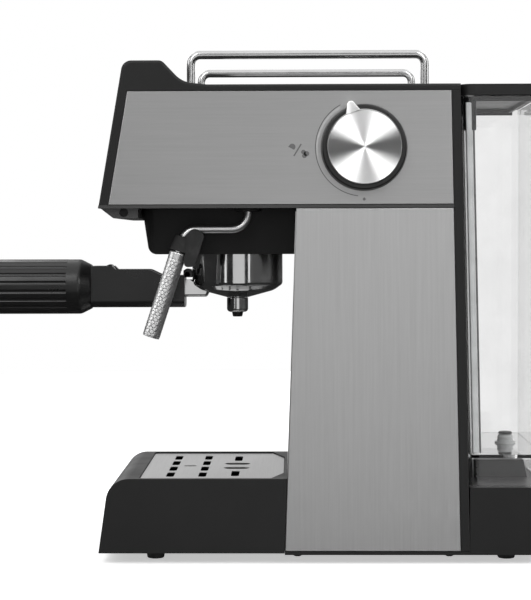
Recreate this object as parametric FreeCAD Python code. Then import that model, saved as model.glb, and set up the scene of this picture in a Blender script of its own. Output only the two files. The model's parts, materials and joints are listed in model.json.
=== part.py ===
import FreeCAD, Part
import math
import os

# Slim pump espresso machine. Millimetres. The origin is on the counter under the middle of the
# base, +X is the user's right, +Y points to the back and +Z points up.

# ---- driving dimensions ----
WIDTH = 150.0
HALF = WIDTH / 2
FOOT_HEIGHT = 6.0
BASE_FRONT = -146.5
BASE_REAR = 146.5
BASE_TOP = 49.8
DECK = 310.7
DECK_EDGE = 4.2
HUMP_TOP = 326.3
HEAD_BOTTOM = 231.0
STEEL = 1.0
PLASTIC = 2.5
GAP = 0.3
SLIP = 0.1

# Each upright of the body leans a little: (y at the low z, y at the high z, low z, high z).
COLUMN_LOW = 8.0
COLUMN_FRONT = (-25.3, -17.4, COLUMN_LOW, HEAD_BOTTOM)
COLUMN_REAR = (89.2, 82.65, COLUMN_LOW, 306.5)
PILLAR_REAR = (94.8, 88.4, COLUMN_LOW, 306.5)
HEAD_FRONT = (-145.5, -130.25, HEAD_BOTTOM, 320.0)

COVER = 2.0
PANEL_BORDER = 6.2
FRONT_WALL = 4.0
CHIN_HALF = 70.0
CHIN_LOW = 224.6
CHIN_SCREW = (-129.2, 228.4)

BREW_Y = -57.8
CUP_RADIUS = 31.0
BASKET_BORE = 25.8
SHROUD_HALF = 45.0
SHROUD_LOW = 201.0
LUG_RADIUS = 34.5
LIP_TOP = 209.5
GROUP_LOW = 204.0

TRAY_TOP = 55.6
TRAY_LOW = 7.0
TRAY_NOSE = -139.6
TRAY_SKIN = 3.0
TRAY_GAP = 0.35
TRAY_FLOOR = (14.0, 16.5)
GRATE_TOP = 54.6
GRATE_THICK = 0.6
GRATE_HALF = 70.4
GRATE_FRONT = -120.0
GRATE_REAR = -26.2
TONGUE_FRONT = -126.0
TONGUE_HALF = 60.0

TANK_HALF = 70.0
TANK_REAR = 145.0
TANK_LOW = 50.1
TANK_RIM = 303.0
TANK_FLOOR = 70.4
TANK_SKIN = 2.2
COLLAR_LOW = 299.6
COLLAR_SKIN = 2.5
BRACKET_LOW = 281.0
VALVE_Y = 126.0
LID_LOW = 303.6
LID_HINGE = (142.5, 307.0)

KNOB = (26.3, 269.7)
KNOB_FACE = HALF + 0.4
POINTER_ANGLE = 108.3
POINTER_REACH = 30.4

WAND_X = 57.0
WAND_Y = -48.8
WAND_LEVEL = 217.4
WAND_RADIUS = 2.5
WAND_CORNER = -89.65
WAND_LEAN = 18.3
WAND_END = 54.0
COLLAR_TOP = 4.8
SLEEVE_TOP = 15.5
SLEEVE_END = 74.4

HANDLE_Z = 178.6
GRIP_RADIUS = 18.75
GRIP_TAPER = -165.2
GRIP_FRONT = -157.6
GRIP_END = -259.0
FLUTES = 20
NECK_END = -93.6
NECK_LOW = 164.5
NECK_TOP = 192.8
NECK_HALF = 12.0
ARM_HALF = 8.0
ARM_LOW = 171.6
ARM_TOP = 183.4
LATCH_FLOOR = 184.6
LATCH_HALF = 6.0
LATCH_HOOK = 186.9

RAIL_X = 65.0
RAIL_FRONT = -85.5
RAIL_REAR = 65.9
RAIL_TOP = 330.3
RAIL_RADIUS = 2.7

BUTTON_RADIUS = 9.0
BUTTON_SPACING = 38.0
BUTTON_LEVEL = 272.0
PUMP = (-20.0, 35.0)

X_AXIS = FreeCAD.Vector(1, 0, 0)
Y_AXIS = FreeCAD.Vector(0, 1, 0)
Z_AXIS = FreeCAD.Vector(0, 0, 1)


# ---- small geometry helpers ----
def at(x, y, z):
    return FreeCAD.Vector(x, y, z)


def lean(line, z):
    """y of a leaning upright at height z."""
    low_y, high_y, low_z, high_z = line
    return low_y + (high_y - low_y) * (z - low_z) / (high_z - low_z)


def block(x, y, z):
    """Box between the low and the high value on each axis."""
    return Part.makeBox(x[1] - x[0], y[1] - y[0], z[1] - z[0], at(x[0], y[0], z[0]))


def rod(radius, start, end):
    run = end.sub(start)
    return Part.makeCylinder(radius, run.Length, start, run)


def ring(outer, inner, start, end):
    return rod(outer, start, end).cut(rod(inner, start, end))


def outline(corners, place):
    """Closed wire through (u, v) or (u, v, radius) corners, set in space by place(u, v)."""
    flat = []
    for corner in corners:
        flat.append(FreeCAD.Vector(corner[0], corner[1], 0))
    turns = []
    for index, corner in enumerate(corners):
        here = flat[index]
        radius = corner[2] if len(corner) > 2 else 0
        if radius == 0:
            turns.append((here, None, here))
            continue
        back = flat[index - 1].sub(here).normalize()
        ahead = flat[(index + 1) % len(flat)].sub(here).normalize()
        half = back.getAngle(ahead) / 2
        inward = back.add(ahead).normalize()
        cut = radius / math.tan(half)
        nearest = inward.multiply(radius / math.sin(half) - radius)
        turns.append((here.add(back.multiply(cut)), here.add(nearest), here.add(ahead.multiply(cut))))
    edges = []
    for index, (start, middle, end) in enumerate(turns):
        if middle is not None:
            arc = Part.Arc(place(start.x, start.y), place(middle.x, middle.y), place(end.x, end.y))
            edges.append(arc.toShape())
        onward = turns[(index + 1) % len(turns)][0]
        if end.sub(onward).Length > 1e-6:
            edges.append(Part.LineSegment(place(end.x, end.y), place(onward.x, onward.y)).toShape())
    return Part.Wire(edges)


def side_prism(corners, x_low, x_high):
    """(y, z) outline pushed along X."""
    wire = outline(corners, lambda u, v: at(x_low, u, v))
    return Part.Face(wire).extrude(at(x_high - x_low, 0, 0))


def plan_prism(corners, z_low, z_high):
    """(x, y) outline pushed along Z."""
    wire = outline(corners, lambda u, v: at(u, v, z_low))
    return Part.Face(wire).extrude(at(0, 0, z_high - z_low))


def turned(corners, centre, axis):
    """Solid of revolution. corners are (radius, distance along the axis from centre)."""
    across = X_AXIS if axis.cross(X_AXIS).Length > 0.5 else Y_AXIS
    wire = outline(corners, lambda u, v: centre.add(across * u).add(axis * v))
    return Part.Face(wire).revolve(centre, axis, 360)


def bent_wire(points, radii):
    """Path of straight runs joined by tangent arcs."""
    edges = []
    start = points[0]
    for index, radius in enumerate(radii, 1):
        here = points[index]
        back = (points[index - 1] - here).normalize()
        ahead = (points[index + 1] - here).normalize()
        half = back.getAngle(ahead) / 2
        inward = (back + ahead).normalize()
        cut = radius / math.tan(half)
        arc_start = here + back * cut
        arc_end = here + ahead * cut
        edges.append(Part.LineSegment(start, arc_start).toShape())
        middle = here + inward * (radius / math.sin(half) - radius)
        edges.append(Part.Arc(arc_start, middle, arc_end).toShape())
        start = arc_end
    edges.append(Part.LineSegment(start, points[-1]).toShape())
    return Part.Wire(edges)


def bar(points, radii, radius):
    """Round bar along a bent path."""
    path = bent_wire(points, radii)
    section = Part.Wire(Part.makeCircle(radius, points[0], points[1] - points[0]))
    return path.makePipeShell([section], True, True)


def tube(points, radii, outer, inner):
    return bar(points, radii, outer).cut(bar(points, radii, inner))


def mirror(shape):
    return shape.mirror(at(0, 0, 0), X_AXIS)


def join(first, *others):
    return first.fuse(list(others)).removeSplitter()


def soften(shape, radius, chosen):
    """Round the edges that chosen(edge) picks."""
    edges = [edge for edge in shape.Edges if chosen(edge)]
    return shape.makeFillet(radius, edges)


def edge_runs_along(edge, direction, minimum):
    """True for a straight edge near parallel to direction and longer than minimum."""
    if len(edge.Vertexes) < 2 or edge.Length < minimum:
        return False
    run = edge.Vertexes[1].Point.sub(edge.Vertexes[0].Point)
    if abs(run.Length - edge.Length) > 1e-4:
        return False
    return abs(run.normalize().dot(direction)) > 0.98


# ---- base ----
def base_housing():
    rear_round = 10.0
    front = lean(COLUMN_FRONT, COLUMN_LOW)
    floor = plan_prism([(-HALF, front), (HALF, front), (HALF, BASE_REAR, rear_round),
                        (-HALF, BASE_REAR, rear_round)], FOOT_HEIGHT, COLUMN_LOW)
    back_wall = PILLAR_REAR[0]
    dock_box = plan_prism([(-HALF, back_wall), (HALF, back_wall), (HALF, BASE_REAR, rear_round),
                           (-HALF, BASE_REAR, rear_round)], COLUMN_LOW, BASE_TOP)
    inside = rear_round - PLASTIC
    hollow = plan_prism([(-HALF + PLASTIC, back_wall + PLASTIC), (HALF - PLASTIC, back_wall + PLASTIC),
                         (HALF - PLASTIC, BASE_REAR - PLASTIC, inside),
                         (-HALF + PLASTIC, BASE_REAR - PLASTIC, inside)],
                        COLUMN_LOW, BASE_TOP - PLASTIC)
    dock_box = dock_box.cut(hollow).cut(hose_opening())
    tongue = plan_prism([(-TONGUE_HALF, front), (-TONGUE_HALF, TONGUE_FRONT, 12),
                         (TONGUE_HALF, TONGUE_FRONT, 12), (TONGUE_HALF, front)],
                        FOOT_HEIGHT, FOOT_HEIGHT + 4)
    body = join(floor, dock_box, tongue)
    for side in (-1, 1):
        runner = block(sorted((side * 34, side * 38)), (TONGUE_FRONT + 14, front - 1), (9, 13))
        body = body.fuse(runner)
    body = body.removeSplitter()
    body = body.cut(rod(5, at(0, VALVE_Y, BASE_TOP - 6), at(0, VALVE_Y, BASE_TOP + 6)))
    body = body.cut(rod(6.1, gland_point(-20), gland_point(20)))
    for x, y in screw_places():
        body = body.cut(rod(1.8, at(x, y, 0), at(x, y, 12)))
    return body


def hose_opening():
    return block((-35, 20), (70, 105), (10, 40))


def gland_point(out):
    return at(-45, BASE_REAR + out, 26)


def screw_places():
    return [(-67, -17), (67, -17), (-67, 82), (67, 82)]


def rubber_feet():
    feet = []
    profile = [(0, 0), (5.5, 0, 1), (6.5, FOOT_HEIGHT), (0, FOOT_HEIGHT)]
    for x, y in ((-50, -111), (50, -111), (-50, 121), (50, 121)):
        feet.append(turned(profile, at(x, y, 0), Z_AXIS))
    return Part.makeCompound(feet)


def housing_screws():
    """Pan-head screws: four up through the floor, one in each side of the chin."""
    screws = []
    profile = [(0, -2), (1.6, -2), (3.2, -1.2, 0.6), (3.2, 0), (1.5, 0), (1.5, 12), (0, 12)]
    cross = block((-2, 2), (-0.4, 0.4), (-2.5, -1.3)).fuse(block((-0.4, 0.4), (-2, 2), (-2.5, -1.3)))
    for x, y in screw_places():
        screw = turned(profile, at(0, 0, 0), Z_AXIS).cut(cross)
        screw.translate(at(x, y, FOOT_HEIGHT))
        screws.append(screw)
    for side in (-1, 1):
        screw = turned([(0, 0), (1.5, 0), (1.5, 4), (2.6, 4), (2.6, 5.4), (0, 5.4)],
                       at(0, 0, 0), X_AXIS)
        screw = screw.cut(block((4.9, 6), (-1.9, 1.9), (-0.4, 0.4)))
        screw.translate(at(CHIN_HALF - 5.6, CHIN_SCREW[0], CHIN_SCREW[1]))
        screws.append(screw if side > 0 else mirror(screw))
    return Part.makeCompound(screws)


# ---- column ----
def column_corners(front_in, rear_in, low, high):
    return [(lean(COLUMN_FRONT, low) + front_in, low), (lean(COLUMN_FRONT, high) + front_in, high),
            (lean(COLUMN_REAR, high) - rear_in, high), (lean(COLUMN_REAR, low) - rear_in, low)]


def column_frame():
    skin = HALF - STEEL
    body = side_prism(column_corners(STEEL, 0, COLUMN_LOW, HEAD_BOTTOM), -skin, skin)
    hollow = column_corners(STEEL + PLASTIC, PLASTIC, COLUMN_LOW - 1, HEAD_BOTTOM + 1)
    body = body.cut(side_prism(hollow, PLASTIC - skin, skin - PLASTIC))
    window = block((skin - 2 * PLASTIC, skin + 1), (0, 64), (60, 214))
    body = body.cut(soften(window, 8, lambda edge: edge_runs_along(edge, X_AXIS, 3)))
    body = body.cut(hose_opening())
    for x, y in screw_places():
        post = rod(5, at(x, y, COLUMN_LOW), at(x, y, 24))
        body = body.fuse(post.common(side_prism(column_corners(2, 1, COLUMN_LOW, 24), -73, 73)))
    body = body.removeSplitter()
    for x, y in screw_places():
        body = body.cut(rod(1.6, at(x, y, 0), at(x, y, 20)))
    return body


def column_side_panel():
    panel = side_prism(column_corners(0, 0, COLUMN_LOW, HEAD_BOTTOM), HALF - STEEL, HALF)
    return panel.makeChamfer(0.6, [edge for edge in panel.Edges if edge.BoundBox.XMin > HALF - 0.01])


def column_front_panel():
    low_y = lean(COLUMN_FRONT, COLUMN_LOW)
    high_y = lean(COLUMN_FRONT, HEAD_BOTTOM)
    corners = [(low_y, COLUMN_LOW), (high_y, HEAD_BOTTOM), (high_y + STEEL, HEAD_BOTTOM),
               (low_y + STEEL, COLUMN_LOW)]
    return side_prism(corners, STEEL - HALF, HALF - STEEL)


def rear_cover():
    corners = [(COLUMN_REAR[0], COLUMN_LOW), (COLUMN_REAR[1], COLUMN_REAR[3]),
               (PILLAR_REAR[1], PILLAR_REAR[3]), (PILLAR_REAR[0], COLUMN_LOW)]
    body = side_prism(corners, -HALF, HALF)
    lightening = [(COLUMN_REAR[0] - 1, 52), (lean(COLUMN_REAR, 225) - 1, 225),
                  (lean(COLUMN_REAR, 225) + 4, 225), (lean(COLUMN_REAR, 52) + 4, 52)]
    body = body.cut(side_prism(lightening, -64, 64))
    return body.cut(hose_opening())


# ---- head ----
def head_side_corners():
    low = HEAD_BOTTOM + COVER
    high = DECK - DECK_EDGE
    return [(lean(HEAD_FRONT, low) + PANEL_BORDER, low), (lean(HEAD_FRONT, high) + PANEL_BORDER, high),
            (lean(COLUMN_REAR, high), high), (lean(COLUMN_REAR, low), low)]


def slant():
    return math.degrees(math.atan2(HEAD_FRONT[1] - HEAD_FRONT[0], HEAD_FRONT[3] - HEAD_FRONT[2]))


def on_front(shape, level):
    """Set a shape built about the origin, facing -Y, on the leaning front at a height."""
    moved = shape.copy()
    moved.rotate(at(0, 0, 0), X_AXIS, -slant())
    moved.translate(at(0, lean(HEAD_FRONT, level), level))
    return moved


def head_housing():
    low = HEAD_BOTTOM + COVER
    high = DECK - DECK_EDGE
    outer = [(lean(HEAD_FRONT, low), low), (lean(HEAD_FRONT, HUMP_TOP), HUMP_TOP, 6.5),
             (-104, HUMP_TOP, 5), (-91, 312.6, 16), (-76, DECK, 30), (PILLAR_REAR[1], DECK),
             (PILLAR_REAR[1], high), (lean(COLUMN_REAR, high), high), (lean(COLUMN_REAR, low), low)]
    body = side_prism(outer, -HALF, HALF)
    body = soften(body, 2.0, lambda edge: edge.BoundBox.ZMin > high + 1
                  and abs(edge.BoundBox.XMax - edge.BoundBox.XMin) < 0.01
                  and edge.BoundBox.YMin < 80)
    roof = DECK - PLASTIC
    hump_roof = HUMP_TOP - PLASTIC
    inner = [(lean(HEAD_FRONT, low) + FRONT_WALL, low - 1),
             (lean(HEAD_FRONT, hump_roof) + FRONT_WALL, hump_roof, 3), (-105.1, hump_roof, 3),
             (-92.2, 310.2, 18), (-76.2, roof, 30), (80, roof), (80, high), (90, high), (90, low - 1)]
    inside = HALF - STEEL - PLASTIC
    body = body.cut(side_prism(inner, -inside, inside))
    for side in (-1, 1):
        skin = sorted((side * (HALF - STEEL), side * (HALF + 1)))
        body = body.cut(side_prism(head_side_corners(), skin[0], skin[1]))
        for y in (RAIL_FRONT, RAIL_REAR):
            boss = rod(6, at(side * RAIL_X, y, 306), at(side * RAIL_X, y, 330))
            body = body.fuse(boss.common(side_prism(outer, -inside - 1, inside + 1)))
        post = rod(3, at(side * 56, FRONT_WALL - 1, 0), at(side * 56, 12.5, 0))
        body = body.fuse(on_front(post, BUTTON_LEVEL))
    body = body.removeSplitter()
    for side in (-1, 1):
        for y in (RAIL_FRONT, RAIL_REAR):
            body = body.cut(rod(RAIL_RADIUS + SLIP, at(side * RAIL_X, y, 300), at(side * RAIL_X, y, 335)))
    body = body.cut(plan_prism(warmer_corners(0.3), DECK - 0.7, DECK + 5))
    body = body.cut(on_front(front_panel_blank(0.2), BUTTON_LEVEL))
    for x in button_places():
        body = body.cut(on_front(rod(BUTTON_RADIUS + 0.4, at(x, -1, 0), at(x, 6, 0)), BUTTON_LEVEL))
        body = body.cut(on_front(rod(1.7, at(x, -1, 17), at(x, 8, 17)), BUTTON_LEVEL))
    return body.cut(rod(8.1, at(60, KNOB[0], KNOB[1]), at(HALF, KNOB[0], KNOB[1])))


def button_places():
    return (-BUTTON_SPACING, 0.0, BUTTON_SPACING)


def warmer_corners(margin):
    across = 58 + margin
    front = -66 - margin
    rear = 76 + margin
    return [(-across, front, 8), (across, front, 8), (across, rear, 8), (-across, rear, 8)]


def cup_warmer_plate():
    plate = plan_prism(warmer_corners(0), DECK - 0.7, DECK + 0.3)
    for row in range(5):
        y = -52 + 28.5 * row
        for x in (-38, -12.7, 12.7, 38):
            slot = plan_prism([(x - 9, y - 1.5, 1.45), (x + 9, y - 1.5, 1.45),
                               (x + 9, y + 1.5, 1.45), (x - 9, y + 1.5, 1.45)], DECK - 2, DECK + 2)
            plate = plate.cut(slot)
    return plate


def front_panel_blank(margin):
    """Front plate before its holes, facing -Y about the button line."""
    across = 69 + margin
    plate = block((-across, across), (0, 1.2), (-34 - margin, 42 + margin))
    return soften(plate, 4, lambda edge: edge_runs_along(edge, Y_AXIS, 1))


def head_front_panel():
    plate = front_panel_blank(0)
    for x in button_places():
        plate = plate.cut(rod(BUTTON_RADIUS + 0.4, at(x, -1, 0), at(x, 3, 0)))
        plate = plate.cut(rod(1.6, at(x, -1, 17), at(x, 3, 17)))
    return on_front(plate, BUTTON_LEVEL)


def head_side_panel():
    panel = side_prism(head_side_corners(), HALF - STEEL, HALF)
    return panel.makeChamfer(0.5, [edge for edge in panel.Edges if edge.BoundBox.XMin > HALF - 0.01])


def head_side_panel_right():
    hole = rod(8.6, at(HALF - 5, KNOB[0], KNOB[1]), at(HALF + 5, KNOB[0], KNOB[1]))
    return head_side_panel().cut(hole)


def head_bottom_cover():
    low = HEAD_BOTTOM
    high = HEAD_BOTTOM + COVER
    plate = side_prism([(lean(HEAD_FRONT, low), low), (lean(HEAD_FRONT, high), high),
                        (lean(COLUMN_REAR, high), high), (lean(COLUMN_REAR, low), low)], -HALF, HALF)
    chin = side_prism([(-144, low + 0.5), (-143.5, low - 0.6, 0.5), (-136, CHIN_LOW, 2),
                       (-120, CHIN_LOW, 1), (-120, low + 0.5)], -CHIN_HALF, CHIN_HALF)
    body = join(plate, chin)
    chin_floor = CHIN_LOW + COVER
    inside = CHIN_HALF - COVER
    body = body.cut(side_prism([(-138, high + 1), (-134, chin_floor), (-122.5, chin_floor),
                                (-122.5, high + 1)], -inside, inside))
    for side in (-1, 1):
        start = at(side * (CHIN_HALF - 6), CHIN_SCREW[0], CHIN_SCREW[1])
        middle = at(side * (CHIN_HALF - 1.6), CHIN_SCREW[0], CHIN_SCREW[1])
        end = at(side * (CHIN_HALF + 2), CHIN_SCREW[0], CHIN_SCREW[1])
        body = body.cut(rod(1.6, start, end)).cut(rod(2.9, middle, end))
    body = body.cut(rod(39.5, at(0, BREW_Y, low - 2), at(0, BREW_Y, high + 2)))
    body = body.cut(block((-66, 66), (-8, 76), (low - 1, high + 1)))
    return body.cut(rod(7, at(WAND_X, WAND_Y, low - 2), at(WAND_X, WAND_Y, high + 2)))


def cup_rail(side):
    x = side * RAIL_X
    points = [at(x, RAIL_FRONT, 300), at(x, RAIL_FRONT, RAIL_TOP), at(x, RAIL_REAR, RAIL_TOP),
              at(x, RAIL_REAR, 300)]
    return bar(points, (6, 6), RAIL_RADIUS)


def cup_rails():
    return Part.makeCompound([cup_rail(1), cup_rail(-1)])


# ---- buttons ----
def push_button(x):
    cap = turned([(0, -3), (BUTTON_RADIUS, -3, 1.2), (BUTTON_RADIUS, 4.3), (10.6, 4.3), (10.6, 5.5),
                  (2, 5.5), (2, 8), (0, 8)], at(x, 0, 0), Y_AXIS)
    return on_front(cap, BUTTON_LEVEL)


def indicator_lights():
    pipes = []
    for x in button_places():
        pipe = turned([(0, -0.4), (1.5, -0.4, 0.3), (1.5, 11), (0, 11)], at(x, 0, 17), Y_AXIS)
        pipes.append(on_front(pipe, BUTTON_LEVEL))
    return Part.makeCompound(pipes)


def button_board():
    board = block((-62, 62), (12.5, 14.1), (-12, 22))
    for x in button_places():
        board = board.fuse(block((x - 3, x + 3), (10.8, 12.6), (-3, 3)))
    board = board.fuse(block((-52, -34), (14, 20), (10, 18)))
    return on_front(board.removeSplitter(), BUTTON_LEVEL)


# ---- brew group ----
def sector(inner, outer, middle_angle, half_angle, low, high):
    """Part of a ring about the brew axis, centred on an angle from +X."""
    start = math.radians(middle_angle - half_angle)
    wedge = ring(outer, inner, at(0, 0, low), at(0, 0, high))
    reach = outer * 2
    corners = [(0, 0)]
    for share in (0, 0.5, 1):
        angle = start + math.radians(2 * half_angle) * share
        corners.append((reach * math.cos(angle), reach * math.sin(angle)))
    piece = wedge.common(plan_prism(corners, low, high))
    piece.translate(at(0, BREW_Y, 0))
    return piece


def brew_group():
    axis = at(0, BREW_Y, 0)
    body = turned([(0, 219.6), (23, 219.6), (23, 226), (32, 226), (32, GROUP_LOW), (38.5, GROUP_LOW, 1),
                   (38.5, 233), (46, 233), (46, 237), (0, 237)], axis, Z_AXIS)
    body = body.cut(ring(35.2, 20, at(0, BREW_Y, LIP_TOP), at(0, BREW_Y, 216.5)))
    for angle in (-45, 135):
        body = body.cut(sector(30, 35.2, angle, 16, GROUP_LOW - 1, LIP_TOP + 1))
    body = body.cut(rod(2.2, at(0, BREW_Y, 215), at(0, BREW_Y, 230)))
    for x in (-9, 9):
        body = body.cut(rod(1.5, at(x, BREW_Y, 215), at(x, BREW_Y, 240)))
    return body


def group_gasket():
    return ring(31.8, 25.6, at(0, BREW_Y, 217.8), at(0, BREW_Y, 226))


def shower_screen():
    screen = rod(24.5, at(0, BREW_Y, 217.9), at(0, BREW_Y, 219.6))
    screen = screen.cut(rod(2.2, at(0, BREW_Y, 215), at(0, BREW_Y, 222)))
    for radius, count in ((9, 8), (14, 12), (19, 16)):
        for turn in range(count):
            angle = 2 * math.pi * turn / count
            x = radius * math.cos(angle)
            y = BREW_Y + radius * math.sin(angle)
            screen = screen.cut(rod(0.8, at(x, y, 217), at(x, y, 221)))
    return screen


def shower_screw():
    screw = turned([(0, 215.9), (4.5, 215.9, 0.8), (4.5, 217.9), (2.1, 217.9), (2.1, 229), (0, 229)],
                   at(0, BREW_Y, 0), Z_AXIS)
    return screw.cut(block((-3.2, 3.2), (BREW_Y - 0.5, BREW_Y + 0.5), (215, 216.9)))


def group_shroud():
    def side(inset, low):
        return [(-119.6 + inset, HEAD_BOTTOM), (-114.8 + inset, low, 6 - inset * 0.8),
                (lean(COLUMN_FRONT, low) - 0.2, low), (lean(COLUMN_FRONT, HEAD_BOTTOM) - 0.2, HEAD_BOTTOM)]

    def plan(inset):
        across = SHROUD_HALF - inset
        return [(-across, -120.2 + inset, 9 - inset), (across, -120.2 + inset, 9 - inset), (across, 0),
                (-across, 0)]

    outer = side_prism(side(0, SHROUD_LOW), -SHROUD_HALF, SHROUD_HALF)
    outer = outer.common(plan_prism(plan(0), 190, 240))
    inner = side_prism(side(PLASTIC, SHROUD_LOW + PLASTIC), PLASTIC - SHROUD_HALF, SHROUD_HALF - PLASTIC)
    inner = inner.common(plan_prism(plan(PLASTIC), 190, 240))
    inner = inner.fuse(block((PLASTIC - SHROUD_HALF, SHROUD_HALF - PLASTIC), (-60, 0),
                             (SHROUD_LOW + PLASTIC, HEAD_BOTTOM)))
    return outer.cut(inner).cut(rod(36, at(0, BREW_Y, 190), at(0, BREW_Y, 212)))


# ---- hot and wet parts inside ----
def heater_path():
    return [at(-24, -104, 278), at(-24, -34, 278), at(24, -34, 278), at(24, -104, 278)]


def thermoblock():
    body = block((-40, 40), (-92, -24), (240, 276))
    body = soften(body, 6, lambda edge: edge_runs_along(edge, Z_AXIS, 9))
    for x in (-28, 28):
        for y in (BREW_Y - 26, BREW_Y + 26):
            body = body.fuse(rod(6, at(x, y, 237), at(x, y, 242)))
    for x in (-24, 24):
        body = body.fuse(block((x - 7, x + 7), (-90, -40), (274, 279)))
    body = body.removeSplitter()
    body = body.cut(bar(heater_path(), (18, 18), 4.1))
    body = body.cut(rod(2, at(-20, -50, 262), at(-20, -20, 262)))
    return body.cut(rod(2, at(36, -50, 269.7), at(36, -20, 269.7)))


def heating_element():
    return bar(heater_path(), (18, 18), 4.0)


def thermostats():
    cups = []
    for y in (-78, -56):
        cup = turned([(0, 276), (8, 276), (8, 281), (6.5, 281), (6.5, 285), (0, 285)], at(0, y, 0), Z_AXIS)
        for x in (-4, 4):
            cup = cup.fuse(block((x - 0.4, x + 0.4), (y - 2.4, y + 2.4), (284.5, 293)))
        cups.append(cup.removeSplitter())
    return Part.makeCompound(cups)


def pump_body():
    x, y = PUMP
    body = turned([(0, 36), (3.5, 36), (3.5, 50), (15, 50), (15, 66), (8, 66), (8, 140), (3, 140),
                   (3, 150), (0, 150)], at(x, y, 0), Z_AXIS)
    coil = block((x - 20, x + 20), (y - 17, y + 17), (66, 122))
    coil = soften(coil, 3, lambda edge: edge_runs_along(edge, Z_AXIS, 20))
    return join(body, coil)


def pump_mounts():
    x, y = PUMP
    low = ring(19, 15 + SLIP, at(x, y, 53), at(x, y, 63))
    high = ring(13, 8 + SLIP, at(x, y, 125), at(x, y, 135))
    return Part.makeCompound([low, high])


def pump_bracket():
    x, y = PUMP
    body = block((x - 25, x + 25), (y + 23, y + 24.5), (9, 142))
    body = body.fuse(block((x - 25, x + 25), (y + 24, y + 45), (COLUMN_LOW, COLUMN_LOW + 1.5)))
    body = body.fuse(block((x - 25, x + 25), (y + 23, y + 24.5), (COLUMN_LOW, 12)))
    for level, hole in ((56.5, 19 + SLIP), (128.5, 13 + SLIP)):
        shelf = block((x - 25, x + 25), (y - 23, y + 23.5), (level, level + 3))
        body = body.fuse(shelf.cut(rod(hole, at(x, y, level - 1), at(x, y, level + 4))))
    return body.removeSplitter().cut(rod(7.5, at(x + 5, y + 18, 22), at(x + 5, y + 30, 22)))


def inlet_hose():
    x, y = PUMP
    points = [at(0, VALVE_Y, 45), at(0, VALVE_Y, 22), at(x, y, 22), at(x, y, 46)]
    return tube(points, (10, 10), 5, 3.6)


def pressure_hose():
    x, y = PUMP
    return tube([at(x, y, 150), at(x, y, 262), at(x, -23.9, 262)], (26,), 3, 1.6)


def steam_pipes():
    """Heater to valve, and valve to wand."""
    level = KNOB[1]
    points = [at(36, -23.9, level), at(36, -12, level), at(52, 0, level), at(52, 8, level)]
    to_valve = tube(points, (7, 7), 3, 2)
    points = [at(60, KNOB[0], 250), at(60, KNOB[0], 241), at(WAND_X, WAND_Y, 241), at(WAND_X, WAND_Y, 236)]
    to_wand = tube(points, (6, 4), 3, 2)
    return Part.makeCompound([to_valve, to_wand])


def steam_valve_body():
    y, z = KNOB
    body = turned([(0, 44), (11, 44, 1), (11, 71.4), (8, 71.4), (8, 74.4), (4.05, 74.4), (4.05, 48),
                   (0, 48)], at(0, y, z), X_AXIS)
    body = body.fuse(rod(4.6, at(52, y - 7, z), at(52, 8, z)))
    body = body.fuse(rod(4.6, at(60, y, z - 7), at(60, y, 250)))
    body = body.cut(rod(2, at(52, y, z), at(52, 0, z)))
    return body.cut(rod(2, at(60, y, z), at(60, y, 240)))


def wand_gland_nut():
    nut = turned([(0, 229), (8.5, 229, 0.6), (8.5, 231), (6.8, 231), (6.8, 236), (0, 236)],
                 at(WAND_X, WAND_Y, 0), Z_AXIS)
    nut = nut.cut(rod(WAND_RADIUS + 0.06, at(WAND_X, WAND_Y, 220), at(WAND_X, WAND_Y, 234.5)))
    return nut.cut(rod(1.8, at(WAND_X, WAND_Y, 234), at(WAND_X, WAND_Y, 240)))


def control_board():
    board = block((-69, -67.4), (0, 62), (70, 205))
    board = board.fuse(block((-67.5, -52), (6, 34), (80, 100)))
    board = board.fuse(block((-67.5, -50), (38, 58), (78, 100)))
    board = board.fuse(rod(7, at(-67.5, 20, 125), at(-50, 20, 125)))
    board = board.fuse(block((-67.5, -60), (40, 58), (120, 170)))
    for y in (8, 54):
        for z in (76, 198):
            board = board.fuse(rod(3, at(-71.5, y, z), at(-69, y, z)))
    return board.removeSplitter()


def tank_dock():
    dock = side_prism([(98.4, BASE_TOP), (98.4, 62, 1), (135.6, 62, 1), (138, BASE_TOP)], -24, 24)
    dock = dock.fuse(rod(3.5, at(0, VALVE_Y, 36), at(0, VALVE_Y, 56))).removeSplitter()
    dock = dock.cut(rod(6.3, at(0, VALVE_Y, 52), at(0, VALVE_Y, 65)))
    dock = dock.cut(Part.makeTorus(7, 1, at(0, VALVE_Y, 57)))
    return dock.cut(rod(2, at(0, VALVE_Y, 30), at(0, VALVE_Y, 56)))


def dock_seal():
    return Part.makeTorus(7, 0.85, at(0, VALVE_Y, 57))


def cord_gland():
    gland = turned([(0, -6.5), (6, -6.5), (6, 0), (9, 0), (8, 2.5, 0.8), (0, 2.5)], gland_point(0), Y_AXIS)
    return gland.cut(rod(3.6, gland_point(-10), gland_point(10)))


# ---- steam knob ----
def knob_skirt():
    y, z = KNOB
    low = KNOB_FACE
    skirt = turned([(0, low), (28, low, 0.8), (27, low + 7, 1.2), (24.4, low + 7), (24.4, low + 4),
                    (0, low + 4)], at(0, y, z), X_AXIS)
    skirt = skirt.cut(rod(4 + SLIP, at(70, y, z), at(90, y, z)))
    return skirt.cut(pointer(0.15, low + 4, low + 20))


def pointer(margin, low, high):
    """Rounded nose that shows the knob's position."""
    y, z = KNOB
    half = 3.6 + margin
    tip = POINTER_REACH + margin
    nose = rod(half, at(low, tip - half, 0), at(high, tip - half, 0))
    nose = nose.fuse(block((low, high), (8, tip - half), (-half, half))).removeSplitter()
    nose.rotate(at(0, 0, 0), X_AXIS, POINTER_ANGLE)
    nose.translate(at(0, y, z))
    return nose


def knob_cap():
    y, z = KNOB
    low = KNOB_FACE + 4
    cap = turned([(0, low), (24.2, low), (24.2, low + 6.6, 0.9), (0, low + 6.6)], at(0, y, z), X_AXIS)
    nose = pointer(0, low, low + 6.6)
    return join(cap, nose)


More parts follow.
